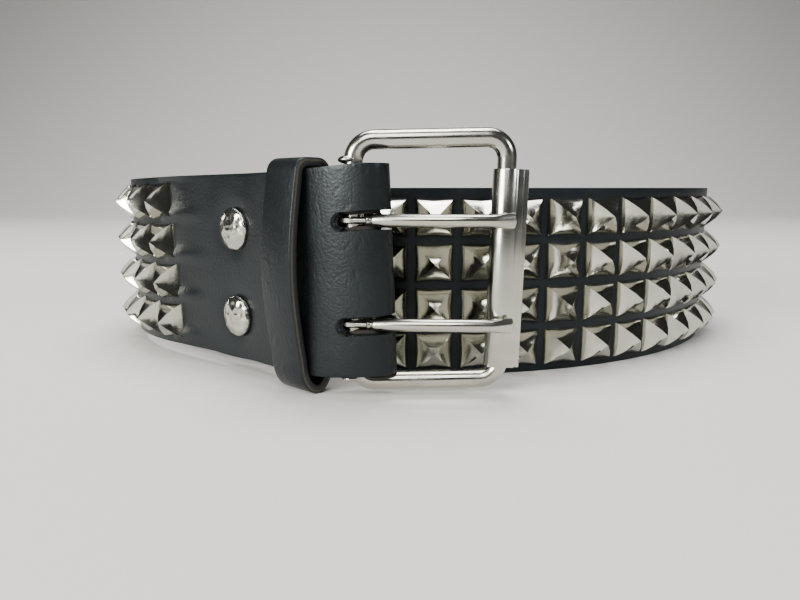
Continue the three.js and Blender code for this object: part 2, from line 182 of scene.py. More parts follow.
# Soft waves of the grain side, in millimetres along, up and out.
wave_length = 34.0
wave_rise = 26.0
wave_depth = 0.25
# Share of the length from the fold, heading in degrees from straight left towards the back, share
# of the fold's rise and share of the largest lean.
loop_plan = [
    (0, 2, 1, 0.37), (0.0067, 15, 0.93, 0.37), (0.0133, 27, 0.86, 0.37), (0.02, 36, 0.81, 0.37),
    (0.0267, 42, 0.77, 0.37), (0.0356, 46, 0.73, 0.37), (0.0489, 44, 0.7, 0.4),
    (0.0667, 38, 0.68, 0.46), (0.0844, 37.8, 0.65, 0.71), (0.1, 40.2, 0.61, 0.93),
    (0.111, 45.8, 0.58, 0.96), (0.133, 58.9, 0.54, 1), (0.144, 71.9, 0.51, 0.88),
    (0.158, 83.6, 0.49, 0.75), (0.183, 94.7, 0.42, 0.62), (0.217, 103.3, 0.34, 0.45),
    (0.256, 114.2, 0.24, 0.25), (0.3, 129.5, 0.14, 0), (0.389, 173.4, 0, 0), (0.478, 220, 0, 0),
    (0.516, 234, 0, 0), (0.556, 246, 0, 0), (0.586, 256, 0, 0), (0.608, 265, 0, 0),
    (0.669, 306, 0, 0), (0.714, 326, 0, 0), (0.804, 361, 0, 0), (0.834, 374, 0, 0),
    (0.854, 384, 0, 0), (0.882, 398, 0, 0), (0.91, 415, 0, 0), (0.932, 430, 0, 0),
    (0.96, 446, 0, 0), (1, 458, 0, 0),
]
# Share of the return's length, and share of the fold's open gap behind the front layer.
return_plan = [(0, 1), (0.13, 1), (0.18, 0.6), (0.23, 0.16), (0.27, 0), (1, 0)]
belt_place = (-19.084, -129.824)
leather_black = "#0B0D0E"
leather_worn = "#171B1D"
leather_sheen = "#E2ECF2"
leather_flesh = "#26211E"
leather_cut = "#1B1815"
leather_raw = "#5A523F"


def from_table(table, along, column):
    """A value from a table whose first column is the share along, in straight steps."""
    for a, b in zip(table, table[1:]):
        if along <= b[0]:
            return a[column] + (b[column] - a[column]) * (along - a[0]) / (b[0] - a[0])
    return table[-1][column]


walk_step = 0.5
walked = [Vector(belt_place)]
for i in range(int(loop_length / walk_step)):
    heading = math.radians(from_table(loop_plan, (i + 0.5) * walk_step / loop_length, 1))
    walked.append(walked[-1] + walk_step * Vector((-math.cos(heading), math.sin(heading))))


def strap_middle(along):
    """The front layer's middle line at a distance from the fold, in millimetres."""
    i = min(int(along / walk_step), len(walked) - 2)
    return walked[i].lerp(walked[i + 1], along / walk_step - i)


def strap_inward(along):
    """The direction into the loop at a distance from the fold."""
    heading = math.radians(from_table(loop_plan, along / loop_length, 1))
    return Vector((math.sin(heading), math.cos(heading)))


def layer_distance(along):
    """The distance between the middle lines of the two layers."""
    opened = from_table(return_plan, along / return_length, 1)
    return strap_thickness + layer_gap + (fold_gap - layer_gap) * opened


fold_radius = layer_distance(0) / 2
fold_arc = math.pi * fold_radius


def strap_line(u):
    """The whole middle line by flat length: the return, the fold and then the loop."""
    if u >= 0:
        return strap_middle(u)
    inward = strap_inward(0)
    if u > -fold_arc:
        turn = math.pi * -u / fold_arc
        forward = Vector((-inward.y, inward.x))
        centre = strap_middle(0) + inward * fold_radius
        return centre - inward * fold_radius * math.cos(turn) - forward * fold_radius * math.sin(turn)
    along = -u - fold_arc
    return strap_middle(along) + strap_inward(along) * layer_distance(along)


def strap_rise(u):
    """The height of the strap's lower edge."""
    along = u if u >= 0 else max(-u - fold_arc, 0)
    return fold_rise * from_table(loop_plan, along / loop_length, 2)


def strap_shift(u):
    """How far a cross line moves along the strap for each millimetre up from its middle."""
    along = u if u >= 0 else max(-u - fold_arc, 0)
    inward = strap_inward(along)
    lean = strap_lean * from_table(loop_plan, along / loop_length, 3) / strap_width
    return Vector((-inward.y, inward.x)) * lean


def strap_outward(u):
    """The direction out of the grain side."""
    travel = strap_line(min(u + 0.4, loop_length)) - strap_line(u - 0.4)
    travel.normalize()
    return Vector((-travel.y, travel.x))


def lay_along_strap(co):
    """Takes a point of the flat strap (length, depth behind its middle, height) to its place."""
    u, depth, height = co
    point = strap_line(u) - strap_outward(u) * depth + strap_shift(u) * height
    return Vector((point.x, point.y, strap_rise(u) + strap_width / 2 + height)) * mm


def apply_modifiers(piece):
    """Applies every modifier of an object, from the first to the last."""
    select_only(piece)
    for modifier in list(piece.modifiers):
        bpy.ops.object.modifier_apply(modifier=modifier.name)


def join_pieces(pieces, name):
    """Joins objects into the first one and names it."""
    bpy.ops.object.select_all(action="DESELECT")
    for piece in pieces:
        piece.select_set(True)
    bpy.context.view_layer.objects.active = pieces[0]
    bpy.ops.object.join()
    joined = bpy.context.object
    joined.name = name
    joined.data.name = name
    return joined


def turn_profile(name, profile, steps):
    """Spins a profile of (radius, height) points round Z into a closed turned shape."""
    mesh = bpy.data.meshes.new(name)
    mesh.from_pydata([(r, 0, z) for r, z in profile], [(i, i + 1) for i in range(len(profile) - 1)], [])
    piece = bpy.data.objects.new(name, mesh)
    bpy.context.scene.collection.objects.link(piece)
    select_only(piece)
    bpy.ops.object.mode_set(mode="EDIT")
    bpy.ops.mesh.select_all(action="SELECT")
    bpy.ops.mesh.spin(steps=steps, angle=2 * math.pi, center=(0, 0, 0), axis=(0, 0, 1))
    bpy.ops.mesh.select_all(action="SELECT")
    bpy.ops.mesh.remove_doubles(threshold=0.001)
    bpy.ops.mesh.normals_make_consistent(inside=False)
    bpy.ops.object.mode_set(mode="OBJECT")
    return piece


flat_start = -fold_arc - return_length
flat_length = loop_length - flat_start
bpy.ops.object.select_all(action="DESELECT")
bpy.ops.mesh.primitive_grid_add(x_subdivisions=strap_columns, y_subdivisions=strap_rows, size=1)
leather = bpy.context.object
leather.name = "leather_strap"
for vertex in leather.data.vertices:
    u = flat_start + (vertex.co.x + 0.5) * flat_length
    to_tip = min(max(tip_radius - (loop_length - u), 0), tip_radius)
    half = strap_width / 2 - tip_radius + math.sqrt(tip_radius ** 2 - to_tip ** 2)
    vertex.co = (u, strap_thickness / 2, vertex.co.y * 2 * half)
thicken = leather.modifiers.new("thickness", "SOLIDIFY")
thicken.thickness = strap_thickness
thicken.offset = 1
soften = leather.modifiers.new("burnished_edge", "BEVEL")
soften.width = edge_round
soften.segments = 3
soften.limit_method = "ANGLE"
soften.angle_limit = math.radians(60)
apply_modifiers(leather)

punches = []
cut_margin = 0.1
slot_radius = slot_height / 2
outer_face = -strap_thickness / 2
slot_profile = [
    (0, outer_face - cut_margin), (slot_radius + slot_flare, outer_face - cut_margin),
    (slot_radius + 0.35 * slot_flare, outer_face + 0.45 * slot_flare_depth),
    (slot_radius, outer_face + slot_flare_depth), (slot_radius, strap_thickness), (0, strap_thickness),
]
for level in slot_levels:
    punch = turn_profile("slot_punch", slot_profile, 32)
    half_straight = fold_arc / 2 + slot_reach - slot_radius
    for vertex in punch.data.vertices:
        x, y, z = vertex.co
        straight = half_straight if x > 0 else -half_straight
        vertex.co = (x + straight - fold_arc / 2, z, level - y)
    punches.append(punch)
for pair in range(tail_hole_pairs):
    for side in (-1, 1):
        bpy.ops.object.select_all(action="DESELECT")
        place = (loop_length - tail_hole_from_tip - pair * tail_hole_spacing, 0, side * tail_hole_level)
        bpy.ops.mesh.primitive_cylinder_add(vertices=24, radius=tail_hole_diameter / 2, depth=9,
                                            location=place, rotation=(math.pi / 2, 0, 0))
        bpy.ops.object.transform_apply()
        punches.append(bpy.context.object)
punch = join_pieces(punches, "punch")
cut = leather.modifiers.new("slots_and_holes", "BOOLEAN")
cut.operation = "DIFFERENCE"
cut.solver = "EXACT"
cut.use_self = True
cut.object = punch
apply_modifiers(leather)
bpy.data.objects.remove(punch)

# The flat place of each point is kept as a map, in metres, so that grain follows the leather. Faces
# turned sideways by more than the share below are cut edge.
edge_share = 0.35
flat_map = leather.data.uv_layers.active or leather.data.uv_layers.new()
flat_map.name = "flat"
for loop in leather.data.loops:
    co = leather.data.vertices[loop.vertex_index].co
    flat_map.data[loop.index].uv = (co.x * mm, co.z * mm)
for face in leather.data.polygons:
    side = face.normal.y
    face.material_index = 0 if side < -edge_share else 1 if side > edge_share else 2

for vertex in leather.data.vertices:
    u, depth, height = vertex.co
    if depth < 0:
        for level in snap_levels:
            away = math.hypot(u - snap_along, height - level)
            depth += snap_press * math.exp(-(away / snap_press_radius) ** 4)
        if 0 < u < pucker_along + stud_pitch / 2:
            row = ((height + pucker_drop) / stud_pitch) % 1 - 0.5
            fade = math.exp(-((min(u, pucker_along) - pucker_along) / pucker_length) ** 2)
            depth -= pucker_height * fade * math.exp(-(row * stud_pitch / pucker_width) ** 2)
    if height > margin_foot:
        share = min(max((u - margin_start) / (margin_end - margin_start), 0), 1)
        height += margin_more * share * (height - margin_foot) / (strap_width / 2 - margin_foot)
    wave = noise.noise(Vector((u / wave_length, height / wave_rise, 0)))
    vertex.co = lay_along_strap((u, depth + wave_depth * wave, height))
select_only(leather)
bpy.ops.object.shade_smooth_by_angle(angle=math.radians(40))

# Drum-dyed black bridle leather: a fine pebbled grain under a soft wax shine, with long creases
# where it bends, and a greyer bloom where it rubs.
pebble_size = 0.75
crease_size = 3.4
crease_start = 34.0
crease_full = 2.0
bloom_size = 16.0
grain_leather = bpy.data.materials.new("waxed_bridle_leather")
flesh_leather = bpy.data.materials.new("leather_flesh_side")
cut_leather = bpy.data.materials.new("burnished_leather_edge")
for material in (grain_leather, flesh_leather, cut_leather):
    material.use_nodes = True
    leather.data.materials.append(material)

tree = grain_leather.node_tree
shader = tree.nodes["Principled BSDF"]
where = add_node(tree, "ShaderNodeUVMap", {"uv_map": "flat"}).outputs["UV"]
pebble = add_node(tree, "ShaderNodeTexVoronoi", {"feature": "SMOOTH_F1"},
                  {"Vector": where, "Scale": 1 / (pebble_size * mm), "Smoothness": 0.4})
stretch = add_node(tree, "ShaderNodeMapping", inputs={"Vector": where, "Scale": (1.5, 0.7, 1)})
crease = add_node(tree, "ShaderNodeTexNoise", {"noise_type": "RIDGED_MULTIFRACTAL"}, {
    "Vector": stretch.outputs["Vector"], "Scale": 1 / (crease_size * mm), "Detail": 5, "Distortion": 0.8})
length_of = add_node(tree, "ShaderNodeSeparateXYZ", inputs={"Vector": where})
bend_share = add_node(tree, "ShaderNodeMapRange", inputs={
    "Value": length_of.outputs["X"], "From Min": crease_start * mm, "From Max": crease_full * mm,
    "To Min": 0.12, "To Max": 1.0})
crease_share = add_node(tree, "ShaderNodeMath", {"operation": "MULTIPLY"}, {
    0: crease.outputs["Fac"], 1: bend_share.outputs["Result"]})
bloom = add_node(tree, "ShaderNodeTexNoise", inputs={
    "Vector": where, "Scale": 1 / (bloom_size * mm), "Detail": 5, "Roughness": 0.6})
colour = add_node(tree, "ShaderNodeMix", {"data_type": "RGBA"}, {"Factor": bloom.outputs["Fac"]})
colour.inputs["A"].default_value = linear(leather_black)
colour.inputs["B"].default_value = linear(leather_worn)
tree.links.new(colour.outputs["Result"], shader.inputs["Base Color"])
gloss = add_node(tree, "ShaderNodeMapRange", inputs={
    "Value": bloom.outputs["Fac"], "From Min": 0.3, "From Max": 0.7, "To Min": 0.31, "To Max": 0.41})
tree.links.new(gloss.outputs["Result"], shader.inputs["Roughness"])
crease_bump = add_node(tree, "ShaderNodeBump", inputs={
    "Height": crease_share.outputs["Value"], "Strength": 0.35, "Distance": 0.35 * mm})
grain_bump = add_node(tree, "ShaderNodeBump", inputs={
    "Height": pebble.outputs["Distance"], "Strength": 0.22, "Distance": 0.2 * mm,
    "Normal": crease_bump.outputs["Normal"]})
tree.links.new(grain_bump.outputs["Normal"], shader.inputs["Normal"])
shader.inputs["Specular IOR Level"].default_value = 0.26
shader.inputs["Specular Tint"].default_value = linear(leather_sheen)

# The flesh side: the same hide, sueded and dyed through, rough with short fibres.
flesh_fibre_size = 0.6
flesh_patch_size = 22.0
tree = flesh_leather.node_tree
shader = tree.nodes["Principled BSDF"]
where = add_node(tree, "ShaderNodeTexCoord").outputs["Object"]
fibre = add_node(tree, "ShaderNodeTexNoise", inputs={
    "Vector": where, "Scale": 1 / (flesh_fibre_size * mm), "Detail": 6, "Roughness": 0.7})
patch = add_node(tree, "ShaderNodeTexNoise", inputs={
    "Vector": where, "Scale": 1 / (flesh_patch_size * mm), "Detail": 3})
colour = add_node(tree, "ShaderNodeMix", {"data_type": "RGBA"}, {"Factor": patch.outputs["Fac"]})
colour.inputs["A"].default_value = linear(leather_cut)
colour.inputs["B"].default_value = linear(leather_flesh)
tree.links.new(colour.outputs["Result"], shader.inputs["Base Color"])
bump = add_node(tree, "ShaderNodeBump", inputs={
    "Height": fibre.outputs["Fac"], "Strength": 0.5, "Distance": 0.25 * mm})
tree.links.new(bump.outputs["Normal"], shader.inputs["Normal"])
shader.inputs["Roughness"].default_value = 0.9

# The cut edge: dyed and rubbed, a little browner than the grain, with a thin undyed line along the
# keeper's edges, where the map gives the share of the thickness.
edge_fibre_size = 0.9
raw_line_share = 0.3
raw_line_half = 0.09
tree = cut_leather.node_tree
shader = tree.nodes["Principled BSDF"]
where = add_node(tree, "ShaderNodeTexCoord").outputs["Object"]
fibre = add_node(tree, "ShaderNodeTexNoise", inputs={
    "Vector": where, "Scale": 1 / (edge_fibre_size * mm), "Detail": 5, "Roughness": 0.65})
colour = add_node(tree, "ShaderNodeMix", {"data_type": "RGBA"}, {"Factor": fibre.outputs["Fac"]})
colour.inputs["A"].default_value = linear(leather_cut)
colour.inputs["B"].default_value = linear(leather_worn)
depth_map = add_node(tree, "ShaderNodeUVMap", {"uv_map": "edge_depth"}).outputs["UV"]
depth_of = add_node(tree, "ShaderNodeSeparateXYZ", inputs={"Vector": depth_map})
from_line = add_node(tree, "ShaderNodeMath", {"operation": "COMPARE"}, {
    0: depth_of.outputs["Y"], 1: raw_line_share, 2: raw_line_half})
raw_line = add_node(tree, "ShaderNodeMath", {"operation": "MULTIPLY"}, {
    0: from_line.outputs["Value"], 1: fibre.outputs["Fac"]})
edge_colour = add_node(tree, "ShaderNodeMix", {"data_type": "RGBA"}, {
    "Factor": raw_line.outputs["Value"], "A": colour.outputs["Result"]})
edge_colour.inputs["B"].default_value = linear(leather_raw)
tree.links.new(edge_colour.outputs["Result"], shader.inputs["Base Color"])
bump = add_node(tree, "ShaderNodeBump", inputs={
    "Height": fibre.outputs["Fac"], "Strength": 0.35, "Distance": 0.2 * mm})
tree.links.new(bump.outputs["Normal"], shader.inputs["Normal"])
shader.inputs["Roughness"].default_value = 0.5
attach(leather, "strap")
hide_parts("strap")


# Studs. Half-inch pyramids pressed from thin steel and nickel-plated, each with pillowed sides and
# two claws that go through the leather and are folded flat behind it.
stud_rows = 4
stud_columns = 49
stud_start = 83.1
# Half width at the corners, half width at the middle of a side, and height of each ring.
stud_rings = [(5.9, 5.65, -0.3), (5.9, 5.6, 0.3), (5.25, 4.85, 1.4), (3.95, 3.3, 3.0),
              (2.2, 1.6, 4.8)]
stud_height = 6.3
claw_width = 2.4
claw_length = 3.1
claw_height = 0.45
claw_from_middle = 2.6
claw_point_share = 0.45
claw_root = 0.3
nickel_bright = "#C9C8BE"
nickel_grey = "#A3A296"

bpy.ops.object.select_all(action="DESELECT")
bpy.ops.mesh.primitive_circle_add(vertices=8, radius=1)
stud = bpy.context.object
bpy.ops.object.mode_set(mode="EDIT")
for _ in stud_rings[1:]:
    bpy.ops.mesh.extrude_region_move()
bpy.ops.mesh.extrude_region_move()
bpy.ops.mesh.merge(type="CENTER")
bpy.ops.object.mode_set(mode="OBJECT")
for i, vertex in enumerate(stud.data.vertices):
    if i == 8 * len(stud_rings):
        vertex.co = (0, 0, stud_height)
        continue
    corner_half, side_half, height = stud_rings[i // 8]
    step = round(math.degrees(math.atan2(vertex.co.y, vertex.co.x)) / 45)
    direction = Vector((math.cos(math.radians(45 * step)), math.sin(math.radians(45 * step))))
    reach = side_half if step % 2 == 0 else corner_half * math.sqrt(2)
    vertex.co = (direction.x * reach, direction.y * reach, height)
studs = [stud]
for side in (-1, 1):
    bpy.ops.object.select_all(action="DESELECT")
    bpy.ops.mesh.primitive_cube_add(size=1)
    claw = bpy.context.object
    for vertex in claw.data.vertices:
        inner = vertex.co.x * side < 0
        narrow = claw_point_share if inner else 1
        vertex.co.x = side * claw_from_middle + vertex.co.x * claw_length
        vertex.co.y *= claw_width * narrow
        vertex.co.z = -strap_thickness - (claw_height if vertex.co.z < 0 else -claw_root)
    studs.append(claw)
stud = join_pieces(studs, "stud")
select_only(stud)
bpy.ops.object.mode_set(mode="EDIT")
bpy.ops.mesh.select_all(action="SELECT")
bpy.ops.mesh.normals_make_consistent(inside=False)
bpy.ops.object.mode_set(mode="OBJECT")
bpy.ops.object.shade_smooth_by_angle(angle=math.radians(30))

studs = []
for column in range(stud_columns):
    u = stud_start + (column + 0.5) * stud_pitch
    outward = strap_outward(u).to_3d()
    face = strap_line(u).to_3d() + outward * strap_thickness / 2
    shift = strap_shift(u).to_3d()
    along = (Vector((0, 0, 1)) + shift).normalized()
    for row in range(stud_rows):
        height = (row - (stud_rows - 1) / 2) * stud_pitch
        turn = Matrix((along.cross(outward), along, outward)).transposed().to_4x4()
        place = Matrix.Translation(face + shift * height
                                   + Vector((0, 0, strap_rise(u) + strap_width / 2 + height)))
        copy = stud.copy()
        copy.data = stud.data.copy()
        copy.data.transform(Matrix.Scale(mm, 4) @ place @ turn)
        bpy.context.scene.collection.objects.link(copy)
        studs.append(copy)
bpy.data.objects.remove(stud)
studs = join_pieces(studs, "studs")

# Bright nickel plate over pressed steel: a warm grey mirror, clouded by handling and hairlines.
stud_cloud_size = 5.0
hairline_size = 0.8
pressed_nickel = bpy.data.materials.new("nickel_plated_steel")
pressed_nickel.use_nodes = True
tree = pressed_nickel.node_tree
shader = tree.nodes["Principled BSDF"]
where = add_node(tree, "ShaderNodeTexCoord").outputs["Object"]
cloud = add_node(tree, "ShaderNodeTexNoise", inputs={
    "Vector": where, "Scale": 1 / (stud_cloud_size * mm), "Detail": 4})
hairline = add_node(tree, "ShaderNodeTexNoise", inputs={
    "Vector": where, "Scale": 1 / (hairline_size * mm), "Detail": 3, "Distortion": 1.5})
colour = add_node(tree, "ShaderNodeMix", {"data_type": "RGBA"}, {"Factor": cloud.outputs["Fac"]})
colour.inputs["A"].default_value = linear(nickel_bright)
colour.inputs["B"].default_value = linear(nickel_grey)
tree.links.new(colour.outputs["Result"], shader.inputs["Base Color"])
gloss = add_node(tree, "ShaderNodeMapRange", inputs={
    "Value": cloud.outputs["Fac"], "From Min": 0.3, "From Max": 0.7, "To Min": 0.07, "To Max": 0.17})
tree.links.new(gloss.outputs["Result"], shader.inputs["Roughness"])
bump = add_node(tree, "ShaderNodeBump", inputs={
    "Height": hairline.outputs["Fac"], "Strength": 0.06, "Distance": 0.2 * mm})
tree.links.new(bump.outputs["Normal"], shader.inputs["Normal"])
shader.inputs["Metallic"].default_value = 1
studs.data.materials.clear()
studs.data.materials.append(pressed_nickel)
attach(studs, "strap")
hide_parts("strap")


# Keeper. A band of the same leather bent into a loop round the doubled end, its cut edges dyed and
# its foot hanging a little below the strap.
keeper_along = 23.5
keeper_width = 12.7
keeper_thickness = 2.6
keeper_slack = 0.6
keeper_corner = 4.2
keeper_foot = 9.5
keeper_belly = 2.9
keeper_low = 0.1
keeper_headroom = 0.8
keeper_edge_round = 0.45
round_steps = 120
near_share = 0.002


def keeper_point(share):
    """The outer outline of the band's section, by share of its way round: across and height."""
    half = (layer_distance(keeper_along) + strap_thickness) / 2 + keeper_slack + keeper_thickness
    high = strap_rise(keeper_along) + strap_width + keeper_headroom + keeper_thickness
    side = high - keeper_corner - keeper_low - keeper_foot
    lengths = [side, math.pi / 2 * keeper_corner, 2 * (half - keeper_corner),
               math.pi / 2 * keeper_corner, side, math.pi * (half + keeper_foot) / 2]
    away = share * sum(lengths)
    part = 0
    while part < 5 and away > lengths[part]:
        away -= lengths[part]
        part += 1
    t = away / lengths[part]
    if part in (0, 4):
        bulge = keeper_belly * math.sin(math.pi * t)
        height = keeper_low + keeper_foot + side * (t if part == 0 else 1 - t)
        return Vector(((half + bulge) * (1 if part == 0 else -1), height))
    if part == 1:
        turn = t * math.pi / 2
        return Vector((half - keeper_corner + keeper_corner * math.cos(turn),
                       high - keeper_corner + keeper_corner * math.sin(turn)))
    if part == 2:
        return Vector(((half - keeper_corner) * (1 - 2 * t), high))
    if part == 3:
        turn = math.pi / 2 + t * math.pi / 2
        return Vector((keeper_corner - half + keeper_corner * math.cos(turn),
                       high - keeper_corner + keeper_corner * math.sin(turn)))
    turn = math.pi + t * math.pi
    return Vector((half * math.cos(turn), keeper_low + keeper_foot + keeper_foot * math.sin(turn)))


bpy.ops.object.select_all(action="DESELECT")
bpy.ops.mesh.primitive_torus_add(major_segments=round_steps, minor_segments=4, major_radius=2,
                                 minor_radius=1, generate_uvs=False)
keeper = bpy.context.object
keeper.name = "keeper_band"
here = strap_middle(keeper_along)
inward = strap_inward(keeper_along)
forward = Vector((-inward.y, inward.x))
centre = here + inward * layer_distance(keeper_along) / 2
depths = []
for vertex in keeper.data.vertices:
    turn = math.atan2(vertex.co.y, vertex.co.x) / (2 * math.pi) % 1
    share = round(turn * round_steps) / round_steps % 1
    out = math.hypot(vertex.co.x, vertex.co.y) - 2
    here_point = keeper_point(share)
    travel = keeper_point((share + near_share) % 1) - keeper_point((share - near_share) % 1)
    normal = Vector((travel.y, -travel.x)).normalized()
    outer = out > 0.5 or vertex.co.z > 0.5
    front = out > 0.5 or vertex.co.z < -0.5
    section = here_point - normal * (0 if outer else keeper_thickness)
    depths.append(0 if outer else 1)
    place = centre + inward * section.x + forward * (keeper_width / 2 * (-1 if front else 1))
    vertex.co = Vector((place.x, place.y, section.y)) * mm
select_only(keeper)
bpy.ops.object.mode_set(mode="EDIT")
bpy.ops.mesh.select_all(action="SELECT")
bpy.ops.mesh.normals_make_consistent(inside=False)
bpy.ops.object.mode_set(mode="OBJECT")
edge_depth = keeper.data.uv_layers.new(name="edge_depth")
for loop in keeper.data.loops:
    edge_depth.data[loop.index].uv = (0, depths[loop.vertex_index])
for face in keeper.data.polygons:
    sideways = abs(face.normal.dot(Vector((forward.x, forward.y, 0))))
    face.material_index = 1 if sideways > 0.7 else 0
soften = keeper.modifiers.new("rubbed_edge", "BEVEL")
soften.width = keeper_edge_round * mm
soften.segments = 3
soften.limit_method = "ANGLE"
soften.angle_limit = math.radians(50)
apply_modifiers(keeper)
bpy.ops.object.shade_smooth_by_angle(angle=math.radians(50))
flat_map = keeper.data.uv_layers.new(name="flat")
for loop in keeper.data.loops:
    co = keeper.data.vertices[loop.vertex_index].co
    flat_map.data[loop.index].uv = (co.dot(Vector((forward.x, forward.y, 0))) + 0.05, co.z)
keeper.data.materials.append(grain_leather)
keeper.data.materials.append(cut_leather)
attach(keeper, "strap")
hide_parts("keeper")


# Snaps. A domed nickel cap on the grain side, closed on a post through both layers to a flat
# washer-like socket inside. The cap's face is hammered all over.
snap_diameter = 13.0
snap_rim = 0.7
snap_crown = 2.0
snap_post = 4.0
socket_diameter = 9.0
socket_height = 1.1
snap_clearance = 0.3
snap_sink = 0.5

outside = strap_thickness / 2 + snap_clearance - snap_sink
inside = -(strap_thickness / 2 + layer_distance(snap_along) + snap_clearance)
radius = snap_diameter / 2
crown = [(radius * math.cos(a), outside + snap_rim + snap_crown * math.sin(a))
         for a in [math.radians(9 * i) for i in range(1, 10)]]
snap_profile = [
    (0, inside - socket_height), (socket_diameter / 2 - 0.2, inside - socket_height),
    (socket_diameter / 2, inside - socket_height + 0.2), (socket_diameter / 2, inside),
    (snap_post / 2, inside), (snap_post / 2, outside), (radius - 0.3, outside),
    (radius, outside + 0.3), (radius, outside + snap_rim), *crown, (0, outside + snap_rim + snap_crown),
]
# Hammered nickel: shallow dents two or three millimetres across, greyer inside than at their ridges.
dent_size = 2.4
hammered_nickel = bpy.data.materials.new("hammered_nickel_plate")
hammered_nickel.use_nodes = True
tree = hammered_nickel.node_tree
shader = tree.nodes["Principled BSDF"]
where = add_node(tree, "ShaderNodeTexCoord").outputs["Object"]
dent = add_node(tree, "ShaderNodeTexVoronoi", {"feature": "SMOOTH_F1"}, {
    "Vector": where, "Scale": 1 / (dent_size * mm), "Smoothness": 0.45})
shade = add_node(tree, "ShaderNodeMix", {"data_type": "RGBA"}, {"Factor": dent.outputs["Distance"]})
shade.inputs["A"].default_value = linear(nickel_grey)
shade.inputs["B"].default_value = linear(nickel_bright)
tree.links.new(shade.outputs["Result"], shader.inputs["Base Color"])
bump = add_node(tree, "ShaderNodeBump", inputs={
    "Height": dent.outputs["Distance"], "Strength": 0.75, "Distance": 0.6 * mm})
tree.links.new(bump.outputs["Normal"], shader.inputs["Normal"])
shader.inputs["Metallic"].default_value = 1
shader.inputs["Roughness"].default_value = 0.2
for name, level in zip(["snap_upper", "snap_lower"], snap_levels):
    snap = turn_profile(name + "_cap", snap_profile, 48)
    outward = -strap_inward(snap_along).to_3d()
    side = Vector((0, 0, 1)).cross(outward)
    turn = Matrix((side, (0, 0, 1), outward)).transposed().to_4x4()
    height = strap_rise(snap_along) + strap_width / 2 + level
    point = strap_middle(snap_along)
    place = Matrix.Translation(Vector((point.x, point.y, height)))
    snap.data.transform(Matrix.Scale(mm, 4) @ place @ turn)
    bpy.ops.object.shade_smooth_by_angle(angle=math.radians(35))
    snap.data.materials.append(hammered_nickel)
    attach(snap, "strap")
    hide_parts(name)


# Buckle frame. Round steel wire bent to a rectangle with rounded corners, nickel-plated, with a
# small pressed shoulder above and below the strap that keeps the fold from sliding.
wire_diameter = 5.2
frame_width = 40.6
frame_height = 66.2
frame_corner = 5.5
frame_rise = 0.8
frame_lean = 1.0
shoulder_diameter = 6.0
shoulder_height = 2.4
shoulder_offset = 1.2
heel_place = Vector((-23.384, -124.455, 4.3))
shoulder_levels = [61.14, 1.14]


def skew_frame(co):
    """Follows the frame's skew from heel bar to side bar and puts it in its place."""
    share = co.x / frame_width
    x = co.x + frame_lean * share * (co.z - frame_height / 2) / frame_height
    return (Vector((x, co.y, co.z + frame_rise * share)) + heel_place) * mm


bpy.ops.object.select_all(action="DESELECT")
bpy.ops.mesh.primitive_plane_add(size=1, rotation=(math.pi / 2, 0, 0))
bpy.ops.object.transform_apply()
wire = bpy.context.object
wire.name = "wire_frame"
for vertex in wire.data.vertices:
    vertex.co.x = (vertex.co.x + 0.5) * frame_width
    vertex.co.z = (vertex.co.z + 0.5) * frame_height
bpy.ops.object.mode_set(mode="EDIT")
bpy.ops.mesh.bevel(offset=frame_corner, segments=12, affect="VERTICES")
bpy.ops.mesh.select_all(action="SELECT")
bpy.ops.mesh.delete(type="ONLY_FACE")
bpy.ops.object.mode_set(mode="OBJECT")
bpy.ops.object.convert(target="CURVE")
wire = bpy.context.object
wire.data.bevel_depth = wire_diameter / 2
wire.data.bevel_resolution = 8
wire.data.dimensions = "3D"
bpy.ops.object.convert(target="MESH")
wire = bpy.context.object
shoulders = [wire]
for level in shoulder_levels:
    bpy.ops.object.select_all(action="DESELECT")
    bpy.ops.mesh.primitive_uv_sphere_add(segments=32, ring_count=16, radius=0.5,
                                         location=(-shoulder_offset, 0, level),
                                         scale=(shoulder_diameter, shoulder_diameter, shoulder_height))
    bpy.ops.object.transform_apply()
    shoulders.append(bpy.context.object)
wire = join_pieces(shoulders, "wire_frame")
for vertex in wire.data.vertices:
    vertex.co = skew_frame(vertex.co)
select_only(wire)
bpy.ops.object.shade_smooth_by_angle(angle=math.radians(50))

# Nickel plate over drawn wire: duller than the studs, with rubbed patches and fine specks.
wire_cloud_size = 9.0
speck_size = 0.7
wire_nickel = bpy.data.materials.new("nickel_plated_wire")
wire_nickel.use_nodes = True
tree = wire_nickel.node_tree
shader = tree.nodes["Principled BSDF"]
where = add_node(tree, "ShaderNodeTexCoord").outputs["Object"]
cloud = add_node(tree, "ShaderNodeTexNoise", inputs={
    "Vector": where, "Scale": 1 / (wire_cloud_size * mm), "Detail": 5})
speck = add_node(tree, "ShaderNodeTexNoise", inputs={
    "Vector": where, "Scale": 1 / (speck_size * mm), "Detail": 4, "Roughness": 0.7})
colour = add_node(tree, "ShaderNodeMix", {"data_type": "RGBA"}, {"Factor": cloud.outputs["Fac"]})
colour.inputs["A"].default_value = linear(nickel_bright)
colour.inputs["B"].default_value = linear(nickel_grey)
tree.links.new(colour.outputs["Result"], shader.inputs["Base Color"])
gloss = add_node(tree, "ShaderNodeMapRange", inputs={
    "Value": cloud.outputs["Fac"], "From Min": 0.3, "From Max": 0.7, "To Min": 0.14, "To Max": 0.28})
tree.links.new(gloss.outputs["Result"], shader.inputs["Roughness"])
bump = add_node(tree, "ShaderNodeBump", inputs={
    "Height": speck.outputs["Fac"], "Strength": 0.08, "Distance": 0.15 * mm})
tree.links.new(bump.outputs["Normal"], shader.inputs["Normal"])
shader.inputs["Metallic"].default_value = 1
wire.data.materials.clear()
wire.data.materials.append(wire_nickel)
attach(wire, "buckle")
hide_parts("buckle_frame")


